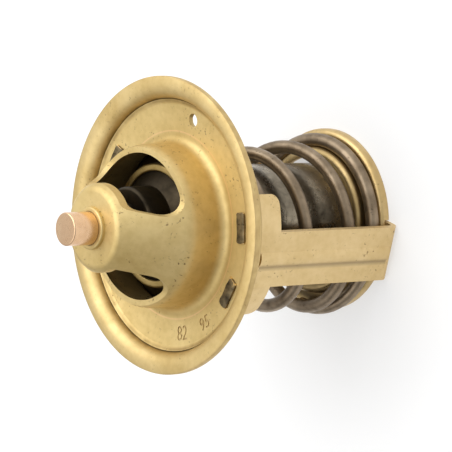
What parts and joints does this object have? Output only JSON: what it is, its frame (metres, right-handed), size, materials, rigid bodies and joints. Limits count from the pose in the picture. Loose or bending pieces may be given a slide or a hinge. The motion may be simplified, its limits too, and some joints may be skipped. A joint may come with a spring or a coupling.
{
  "type": "engine thermostat",
  "caption": "Wax-element engine thermostat: round stamped brass flange, bridge with side windows, piston pin, conical return spring and hooked legs holding the spring seat.",
  "frame": {"origin": "on the axis, in the seating face under the flange rim", "axes": "+Z towards the piston pin, +X along the bridge arms and the legs, +Y on the side of the vent hole"},
  "size_m": [0.067, 0.067, 0.0763],
  "materials": {
    "flange_brass": "satin stamped brass",
    "bridge_brass": "satin stamped brass",
    "leg_brass": "satin stamped brass",
    "seat_brass": "satin stamped brass",
    "pin_copper": "smooth copper-coloured metal",
    "pot_metal": "dull handled brass",
    "guide_dark": "darkened brass",
    "valve_dark": "darkened brass",
    "spring_steel": "plain spring steel",
    "seal_rubber": "black rubber",
    "wax": "wax and metal powder mix"
  },
  "bodies": {
    "frame": {"mounting_flange": "flange_brass", "bridge": "bridge_brass", "piston_pin": "pin_copper", "leg_front": "leg_brass", "leg_rear": "leg_brass", "spring_seat": "seat_brass", "main_spring": "spring_steel"},
    "element": {"valve_disc": "valve_dark", "wax_pot": "pot_metal", "element_guide": "guide_dark", "scraper_ring": "seal_rubber", "rim_gasket": "seal_rubber", "rubber_boot": "seal_rubber", "wax_charge": "wax"}
  },
  "joints": [
    {"name": "valve_travel", "type": "slide", "parent": "frame", "child": "element", "axis": [0, 0, -1], "range_m": [0, 0.0095], "stiffness_N_per_m": 5400, "springref_m": -0.02, "deforming": ["main_spring"]}
  ]
}
